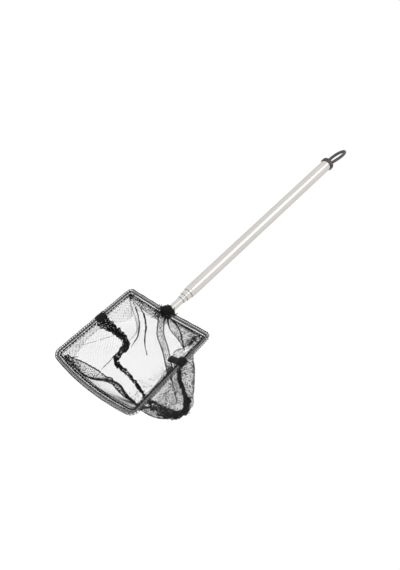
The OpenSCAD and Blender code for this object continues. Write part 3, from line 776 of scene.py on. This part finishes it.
def tangle(path, reach, count, length, radius, seed):
    """Short curly strands scattered round a path, closest together on it."""
    rng = np.random.default_rng(seed)
    f = np.linspace(0, 1, CURL_POINTS)
    parts = []
    for _ in range(count):
        base = path[rng.integers(len(path))] + rng.normal(0, 1, 3) * np.asarray(reach) * SCATTER
        lines = unit(rng.normal(0, 1, (3, 3)))
        run = length * rng.uniform(0.5, 1.3)
        curl = run * rng.uniform(0.15, 0.3)
        turns = rng.uniform(0.6, 1.5) * 2 * math.pi
        swirl = points_of((f - 0.5) * run, curl * np.cos(turns * f), curl * np.sin(turns * f))
        size = radius * rng.uniform(0.7, 1.3) * (1 - 0.5 * np.abs(2 * f - 1))
        parts.append(sweep(base + swirl @ lines, size, 5))
    return joined(parts)


def ravelled(name, path, reach, count, length, radius, seed, slot="binding"):
    """A tangle of tape strands as a piece of its own."""
    make(name, *tangle(path, reach, count, length, radius, seed), tape_mat, slot=slot)


# ---------- seam ----------
# Along the seam from the left wrap: share of its length, width and how closely the strands lie
SEAM_FORM = np.array((
    (0.00, 24, 1.0), (0.03, 21, 1.0), (0.06, 17, 1.0), (0.09, 14, 0.88), (0.12, 14, 0.80),
    (0.14, 14, 0.98), (0.16, 13, 1.0), (0.185, 11, 0.76), (0.22, 11, 0.74), (0.24, 9, 0.95),
    (0.30, 8, 0.76), (0.33, 5.5, 0.85), (0.40, 5, 0.95), (0.43, 10, 0.62), (0.455, 16, 0.62),
    (0.50, 22, 0.82), (0.56, 20, 0.90), (0.62, 21, 1.0), (0.68, 25, 1.0), (0.72, 18, 0.96),
    (0.75, 10, 0.92), (0.80, 8, 0.9), (0.85, 8, 0.85), (0.92, 9, 0.8), (1.00, 13, 1.0)))
SEAM_STEPS = 300
SEAM_ENDS = 4        # steps at each end that carry no ravelled strands
seam_line = resampled(seam_path, SEAM_STEPS)
seam_width, seam_close = points_at(SEAM_FORM[:, 1:], SEAM_FORM[:, 0], np.linspace(0, 1, SEAM_STEPS)).T


def seam_part(first, last):
    """The seam between two shares of its length."""
    return seam_line[int(first * SEAM_STEPS):int(last * SEAM_STEPS)]


seam_tape = bundle(seam_line, unit(BAG_MIDDLE - seam_line), seam_width, thick=2.6, count=60, radius=0.50,
                   density=seam_close, seed=1, ragged=0.25, cell=2.0, rough=2.4)
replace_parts(make("seam_tape", *seam_tape, tape_mat, slot="binding"), "seam_band")
# Ravelled strands all along the seam, up its right side and at its low knot: reach, number, length, radius,
# seed
SEAM_RAVELS = ((seam_line[SEAM_ENDS:-SEAM_ENDS], (2.4, 2.4, 2.4), 220, 3.4, 0.56, 3),
               (seam_part(0.74, 0.95), (5, 5, 5), 60, 4.5, 0.6, 6),
               (seam_part(0.61, 0.73), (5.5, 6.5, 5), 130, 6, 0.75, 4))
make("seam_ravel", *joined([tangle(*form) for form in SEAM_RAVELS]), tape_mat, slot="binding")


# ---------- pleats and doubled net ----------
PLACE_POINTS = 60    # points on a line's course in (s, t)
LINE_STEP = 1.6      # from one point of a line to the next
LINE_LIFT = 0.6      # from the panel to a line on it
ST_STEP = 0.004      # step in s and t that gives a panel's directions
PLEAT_THICK = 1.2
THIN_STRAND = 0.25   # thinner strands are folds of net, and thicker ones are tape
# Lines on the panels, as (s, t) places
CASING_LEFT = ((0.478, 0.0), (0.473, 0.083), (0.465, 0.245), (0.494, 0.367), (0.51, 0.495), (0.524, 0.57))
CASING_RIGHT = ((0.533, 0.0), (0.524, 0.043), (0.512, 0.177), (0.531, 0.312), (0.54, 0.448), (0.548, 0.53))
POCKET_LEFT = ((0.550, 0.0), (0.557, 0.115), (0.575, 0.135), (0.596, 0.15), (0.62, 0.198), (0.64, 0.25))
POCKET_RIGHT = ((0.583, 0.0), (0.618, 0.028), (0.64, 0.105), (0.644, 0.198), (0.65, 0.273))
CORNER_LEFT = ((0.575, 0.0),) + POCKET_RIGHT[1:-1] + ((0.65, 0.26),)
CORNER_RIGHT = ((0.72, 0.0), (0.77, 0.01), (0.765, 0.06), (0.729, 0.13), (0.686, 0.20))
LOOP_EDGE = ((0.546, 0.393), (0.559, 0.355), (0.57, 0.318), (0.598, 0.283), (0.64, 0.26))
LOOP_FOOT = ((0.56, 0.42), (0.58, 0.39), (0.60, 0.37), (0.63, 0.34), (0.66, 0.30))
THROAT_TOP = ((0.235, 0.0), (0.25, 0.01), (0.34, 0.01), (0.42, 0.01), (0.47, 0.02))
THROAT_FOOT = ((0.24, 0.04), (0.27, 0.06), (0.34, 0.075), (0.41, 0.075), (0.47, 0.075))
FOLD_UPPER = ((0.228, 0.11), (0.241, 0.208), (0.246, 0.378), (0.268, 0.50), (0.301, 0.573), (0.338, 0.60),
              (0.345, 0.65), (0.378, 0.61), (0.424, 0.54), (0.474, 0.475), (0.49, 0.51), (0.505, 0.56))
FOLD_LOWER = ((0.265, 0.02), (0.29, 0.01), (0.33, 0.0), (0.37, 0.08), (0.395, 0.17), (0.405, 0.25),
              (0.418, 0.33), (0.436, 0.372), (0.466, 0.378), (0.492, 0.413), (0.512, 0.45), (0.528, 0.51))
# Name, panel, places, width, strands, their radius, closeness, and the shares over which it fades in and out
PLEATS = (
    ("pleat_left", "near", ((0.259, 0.077), (0.296, 0.17), (0.315, 0.315), (0.278, 0.478), (0.259, 0.585),
                            (0.258, 0.682)), 2.8, 10, 0.34, 0.97, 0.15, 0.25),
    ("pleat_second", "near", ((0.323, 0.08), (0.361, 0.138), (0.381, 0.235), (0.376, 0.36), (0.38, 0.475),
                              (0.399, 0.56)), 3.6, 13, 0.42, 0.95, 0.12, 0.6),
    ("casing_left", "near", CASING_LEFT, 2.2, 8, 0.30, 0.75, 0.0, 0.0),
    ("casing_right", "near", CASING_RIGHT, 2.2, 8, 0.30, 0.75, 0.0, 0.0),
    ("pleat_low", "near", ((0.525, 0.49), (0.534, 0.535), (0.544, 0.633), (0.556, 0.738), (0.57, 0.86)),
     2.4, 8, 0.36, 0.85, 0.05, 0.2),
    ("pleat_spike", "near", ((0.549, 0.0), (0.549, 0.033), (0.552, 0.06), (0.556, 0.103)),
     4.0, 14, 0.34, 1.0, 0.0, 0.7),
    ("pleat_right", "near", POCKET_RIGHT, 3.4, 12, 0.36, 0.95, 0.0, 0.2),
    ("pleat_lip", "near", ((0.557, 0.095),) + POCKET_LEFT[2:], 2.0, 7, 0.26, 0.85, 0.1, 0.2),
    ("pleat_loop", "near", LOOP_EDGE, 1.6, 6, 0.24, 0.9, 0.1, 0.1),
    # the upper crease: a fold of net whose dark strands also paint the shade along it
    ("crease_upper", "far", ((0.104, 0.843), (0.125, 0.588), (0.149, 0.35), (0.168, 0.175)),
     1.4, 4, 0.14, 0.8, 0.3, 0.4),
    ("crease_lower", "far", ((0.176, 0.953), (0.204, 0.93), (0.229, 0.905), (0.27, 0.725), (0.295, 0.615)),
     1.9, 7, 0.20, 0.95, 0.05, 0.4),
    ("crease_corner", "far", ((0.244, 0.19), (0.234, 0.275), (0.228, 0.348)), 1.8, 6, 0.22, 0.95, 0.1, 0.2),
    ("fold_upper", "far", FOLD_UPPER, 2.6, 9, 0.32, 0.9, 0.45, 0.0),
    ("fold_crest", "far", FOLD_UPPER[6:], 7.0, 24, 0.46, 0.86, 0.15, 0.0),
    ("fold_lower", "far", FOLD_LOWER[4:], 3.4, 12, 0.40, 0.92, 0.25, 0.0))
# Extra net: name, panel, its two lines, rows, pitch, lifts of its layers, thread radius, share of knots, and
# radius of the stitches along its lines
PATCHES = (
    ("casing_net", "near", CASING_LEFT, CASING_RIGHT, 34, 3.0, (0.8, 2.0), 0.18, 0.20, 0.8),
    ("pocket_net", "near", POCKET_LEFT, POCKET_RIGHT, 20, 3.0, (0.8,), 0.18, 0.16, 0),
    ("corner_net", "near", CORNER_LEFT, CORNER_RIGHT, 22, 3.2, (1.0,), 0.18, 0.20, 0),
    ("loop_net", "near", LOOP_EDGE, LOOP_FOOT, 16, 2.6, (0.9,), 0.18, 0.08, 0),
    ("throat_net", "near", THROAT_TOP, THROAT_FOOT, 44, 2.8, (1.2,), 0.20, 0.35, 0.7),
    ("fold_net", "far", FOLD_UPPER, FOLD_LOWER, 56, 2.6, (1.0, 2.0), 0.18, 0.18, 0))


def on_panel(side, places):
    """A smooth path over a panel through (s, t) places, with the panel's normals, inside the bag."""
    course = spline(places, PLACE_POINTS)
    path = surface(side, course[:, 0], course[:, 1])
    count = max(int(run_of(path)[-1] / LINE_STEP), 6)
    course = points_at(course, np.linspace(0, 1, PLACE_POINTS), np.linspace(0, 1, count))
    s, t = course[:, 0], course[:, 1]
    here = surface(side, s, t)
    along_s = surface(side, s + ST_STEP, t) - here
    along_t = surface(side, s, t + ST_STEP) - here
    face = turned_in(unit(np.cross(along_s, along_t)), here)
    return here + face * LINE_LIFT, face


def fade(count, rise, fall):
    """A share that rises from 0 at one end, stays at 1, and falls to 0 at the other end."""
    f = np.linspace(0, 1, count)
    tiny = 1e-6          # keeps an end at 1 where it has no fade
    return np.clip(np.minimum((f + tiny) / max(rise, tiny), (1 - f + tiny) / max(fall, tiny)), 0, 1)


def patch(name, side, left, right, rows, pitch, lifts, radius, speckle, edge_r):
    """Extra layers of net between two lines on a panel, the first with stitches along its edges."""
    left, right = spline(left, rows), spline(right, rows)
    apart = surface(side, left[:, 0], left[:, 1]) - surface(side, right[:, 0], right[:, 1])
    columns = max(int(np.linalg.norm(apart, axis=1).max() / pitch) + 1, 3)
    st = left[None] + (right - left)[None] * np.linspace(0, 1, columns)[:, None, None]
    grid = surface(side, st[..., 0], st[..., 1])
    off = turned_in(normals(grid), grid)
    parts = []
    for layer, lift in enumerate(lifts):
        a, b = hexagons(grid + off * lift)
        crowd = np.clip(np.linalg.norm(b - a, axis=1) / pitch, 0.4, 1)
        parts += [struts(a, b, radius * crowd), knots(a, speckle * crowd, KNOT_R, seed=layer)]
        if edge_r and layer == 0:
            edges = [grid[k] + off[k] * lift for k in (0, -1)]
            parts += [dotted(edge, 5.0, 2.2, dot_r=edge_r, thread_r=edge_r / 2) for edge in edges]
    make(name, *joined(parts), fold_mat if side == "far" else net_mat)


for seed, (name, side, places, width, count, radius, close, rise, fall) in enumerate(PLEATS, start=20):
    path, face = on_panel(side, places)
    shape = np.maximum(fade(len(path), rise, fall), 0.15)
    strands = bundle(path, face, width * shape, PLEAT_THICK, count, radius, close, seed, ragged=0.5)
    make(name, *strands, tape_mat if radius > THIN_STRAND else fold_mat)

for form in PATCHES:
    patch(*form)


# ---------- wraps, gather and lashing ----------
LUMP_WAVES = 9       # waves that crumple a lump's surface
WRAP_INSET = 2.6     # the wraps' middle, from the wire,
WRAP_DROP = 0.2      # and below it
WRAP_R = 8.2
WRAP_STEPS = 22
WRAP_TURNS = 9
BINDING_R = 0.62
tie_lo, tie_hi = node_box("throat_tie")
GATHER_HALF = 13.5   # half width of the roll on the pole's end
ROLL_X = NEAR_EDGE - HEM_R + 2
COLLAR_END = (tie_lo[0] + tie_hi[0]) / 2 - 2.5
CORD_R = 1.0         # radius of the lashing's cord over the gather,
COIL_CORD_R = 1.05   # and round the pole
COIL_R = 9.6
COIL_TURNS = 4.3
COIL_POINTS = 150
CROSSINGS = ((-13, 9), (12, -10), (-7, 13), (5, -14))    # where each starts and ends, across the roll


def lump(name, path, radius, seed, sides, squash, amount, up=(0, 0, 1)):
    """A crumpled solid like bunched cloth along a path, with closed ends."""
    rng = np.random.default_rng(seed)
    n = len(path)
    verts, faces = sweep(path, radius, sides, squash=squash, up=up)
    grid = verts.reshape(n, sides, 3)
    j, k = np.meshgrid(np.arange(n), np.arange(sides), indexing="ij")
    form = np.zeros((n, sides))
    for _ in range(LUMP_WAVES):
        along, around, phase = rng.uniform(0.3, 2.2), rng.integers(1, 8), rng.uniform(0, PHASES)
        form += np.sin(along * j + around * k * 2 * math.pi / sides + phase) * rng.uniform(0.4, 1)
    grid = grid + unit(grid - path[:, None]) * (form / 4 * amount)[..., None]
    verts = np.concatenate([grid.reshape(-1, 3), path[:1].repeat(sides, 0), path[-1:].repeat(sides, 0)])
    faces = np.concatenate([faces, ring_quads(n, 0, sides), ring_quads(n - 1, n + 1, sides)])
    return make(name, verts, faces, tape_mat, slot="binding")


def wrap(name, run, half, seed):
    """Binding wound round the hem where the seam starts."""
    end = np.sqrt(np.clip(1 - np.linspace(-1, 1, WRAP_STEPS) ** 6, 0.05, 1))
    path = hoop.at(np.linspace(run - half, run + half, WRAP_STEPS), WRAP_INSET, WRAP_DROP)
    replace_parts(lump(name, path, WRAP_R * end, seed, sides=22, squash=0.74, amount=0.6), name)
    ravelled(name + "_ravel", path, (5, 5, 3.5), 40, 6, 0.8, seed)
    w = np.linspace(0, 2 * math.pi, 27)
    turns = []
    for k in range(WRAP_TURNS):
        centre = run - half + (k + 0.5) * 2 * half / WRAP_TURNS
        lean = 0.9 * np.sin(w + k)
        path = hoop.at(centre + lean, WRAP_INSET + 8.3 * np.cos(w), WRAP_DROP + 6.1 * np.sin(w))
        turns.append(sweep(path, BINDING_R, 6))
    make(name + "_turns", *joined(turns), cord_mat, slot="binding")


def crossing(y0, y1):
    """The lashing's cord over the gather, from y0 on the roll, round the collar, to y1 on the roll."""
    places = ((ROLL_X - 3, y0, HOOP_Z + 5.6), (ROLL_X + 3, (y0 + y1) / 3, HOOP_Z + 8.0),
              (tie_lo[0] - 2, y1 * 0.55, 8.8), (ROLL_X - 1, y1, HOOP_Z + 5.2))
    return sweep(spline(places, 60), CORD_R, 8)


wrap("left_wrap", left_run, half=9.0, seed=60)
wrap("right_wrap", right_run - 3, half=8.0, seed=61)

# The end of the binding on the right, which hangs into the bag, and the strands at its foot
tongue = hoop.at(right_run - np.linspace(3, 6, 16), np.linspace(0, 29, 16), np.linspace(0, 4, 16))
tongue_r = 6.4 - 0.8 * np.linspace(0, 1, 16) ** 3
lump("right_tongue", tongue, tongue_r, seed=62, sides=18, squash=0.6, amount=0.5)
tongue_foot = hoop.at(right_run - np.linspace(14, 26, 12), np.linspace(24, 9, 12), np.linspace(8, 5, 12))
ravelled("right_wrap_knots", tongue_foot, (6, 6, 3), 34, 5, 0.6, 63)

# The net gathered over the end of the pole: a collar round the tube, and a roll across the hem
x = np.linspace(ROLL_X - 4, COLLAR_END, 24)
collar_r = 8.3 + 0.8 * np.sin(1.9 * x)
collar = lump("gathered_collar", points_of(x, 0, 0), collar_r, seed=70, sides=26, squash=1.0, amount=1.0,
              up=(0, 1, 0))
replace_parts(collar, "throat_gather")
y = np.linspace(-GATHER_HALF, GATHER_HALF, 36)
roll_path = points_of(ROLL_X, y, HOOP_Z + 0.5 * np.sin(0.7 * y))
roll_r = 5.0 + 0.6 * np.sin(0.5 * y + 1) - 1.6 * (np.abs(y) / GATHER_HALF) ** 4
lump("gathered_roll", roll_path, roll_r, seed=71, sides=20, squash=1.0, amount=1.1)

turn = np.linspace(0, 2 * math.pi * COIL_TURNS, COIL_POINTS)
coil_x = np.linspace(tie_lo[0] - 4, COLLAR_END - 0.5, COIL_POINTS)
coil = points_of(coil_x, COIL_R * np.cos(turn), COIL_R * np.sin(turn))
lashing = joined([sweep(coil, COIL_CORD_R, 8)] + [crossing(y0, y1) for y0, y1 in CROSSINGS])
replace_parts(make("lashing", *lashing, cord_mat, slot="cord"), "throat_tie")

# Ravelled strands over the roll and the collar
throat_line = points_of(ROLL_X - 7 + 3 * np.sin(0.3 * y), 1.3 * y + 2, HOOP_Z + 1)
ravelled("gather_ravel", throat_line, (11, 6, 4), 170, 6, 0.80, 80)
ravelled("collar_ravel", coil, (2.5, 2.5, 2.5), 70, 5, 0.7, 81)

# Ravelled strands in the near left corner, and crinkled cord in the near right one
left_corner = hoop.at(np.linspace(92, 112, 8), 11, 2)
ravelled("corner_ravel", left_corner, (4, 4, 2), 26, 5, 0.6, 84, "mesh")
right_corner, _ = on_panel("near", ((0.79, 0.013), (0.765, 0.068), (0.729, 0.135), (0.69, 0.195)))
ravelled("corner_crinkle", right_corner, (4.4, 4.4, 4.4), 44, 10, 0.52, 82, "mesh")


# ---------- camera, light and stage ----------
IMAGE_H = 570        # height of the picture in pixels,
FOCAL_PX = 646.0     # and the lens's focal length in them
SENSOR_H = 24.0
CAMERA_AT = Vector((-0.6093, -0.7779, 0.7803))  # in metres, as is the lamp's place
LOOK = Vector((0.364578, 0.655307, -0.661556))
CAMERA_UP = Vector((0.635184, 0.344490, 0.691280))
WORLD_LEVEL = 0.9    # what diffuse surfaces see of the white world
LAMP_AT = Vector((0.92, -1.28, 1.25))
LAMP_SIZE = 1.05
LAMP_POWER = 4.4
FLOOR_GLOW = 1.03
FLOOR_SHADOW = 0.10  # share of the floor's own shading that the camera sees
FLOOR_DROP = 120     # from the bottom of the bag to the floor
FLOOR_HALF = 6000


def add_camera():
    """The camera that was fitted to the photograph."""
    lens = bpy.data.cameras.new("camera")
    lens.sensor_fit = "VERTICAL"
    lens.sensor_height = SENSOR_H
    lens.lens = SENSOR_H * FOCAL_PX / IMAGE_H
    camera = placed("camera", lens)
    back = -LOOK.normalized()
    right = CAMERA_UP.cross(back).normalized()
    turned = Matrix((right, back.cross(right), back)).transposed()
    camera.matrix_world = Matrix.Translation(CAMERA_AT) @ turned.to_4x4()
    bpy.context.scene.camera = camera


def add_lamp():
    """One soft lamp, turned to the middle of the grip."""
    data = bpy.data.lights.new("key", "AREA")
    data.energy = LAMP_POWER
    data.size = LAMP_SIZE
    lamp = placed("key", data)
    lamp.location = LAMP_AT
    lamp.rotation_euler = (-LAMP_AT).to_track_quat("-Z", "Y").to_euler()


def seen_directly(tree):
    """1 for rays from the camera and for rays reflected by or passing through smooth materials."""
    path = added(tree, "LightPath")
    total = path.outputs["Is Camera Ray"]
    for name in ("Is Glossy Ray", "Is Transmission Ray"):
        add = added(tree, "Math")
        add.operation = "MAXIMUM"
        tree.links.new(total, add.inputs[0])
        tree.links.new(path.outputs[name], add.inputs[1])
        total = add.outputs["Value"]
    return total


def add_world():
    """A white studio with soft light: diffuse surfaces see a dimmer world than the camera does."""
    world = bpy.data.worlds.new("studio")
    world.use_nodes = True
    bpy.context.scene.world = world
    tree = world.node_tree
    back = tree.nodes["Background"]
    back.inputs["Color"].default_value = (1, 1, 1, 1)
    level = added(tree, "MapRange", To_Min=WORLD_LEVEL, To_Max=1.0)
    tree.links.new(seen_directly(tree), level.inputs["Value"])
    tree.links.new(level.outputs["Result"], back.inputs["Strength"])


def add_floor():
    """A plain white floor that keeps a faint shadow."""
    mat, tree, shader = material("floor", (0.9, 0.9, 0.9), 0.9)
    shader.inputs["Specular IOR Level"].default_value = 0.0
    glow = added(tree, "Emission", Strength=FLOOR_GLOW)
    mix = added(tree, "MixShader")
    share = added(tree, "MapRange", To_Min=0.0, To_Max=1 - FLOOR_SHADOW)
    tree.links.new(seen_directly(tree), share.inputs["Value"])
    tree.links.new(share.outputs["Result"], mix.inputs["Fac"])
    tree.links.new(shader.outputs[0], mix.inputs[1])
    tree.links.new(glow.outputs[0], mix.inputs[2])
    tree.links.new(mix.outputs[0], tree.nodes["Material Output"].inputs[0])
    z = (node_box("far_panel")[0][2] - FLOOR_DROP) * MM
    half = FLOOR_HALF * MM
    corners = [(-half, -half, z), (half, -half, z), (half, half, z), (-half, half, z)]
    mesh = bpy.data.meshes.new("floor")
    mesh.from_pydata(corners, [], [(0, 1, 2, 3)])
    mesh.materials.append(mat)
    placed("floor", mesh)


add_camera()
add_world()
add_floor()
add_lamp()
bpy.context.scene.view_settings.view_transform = "Standard"
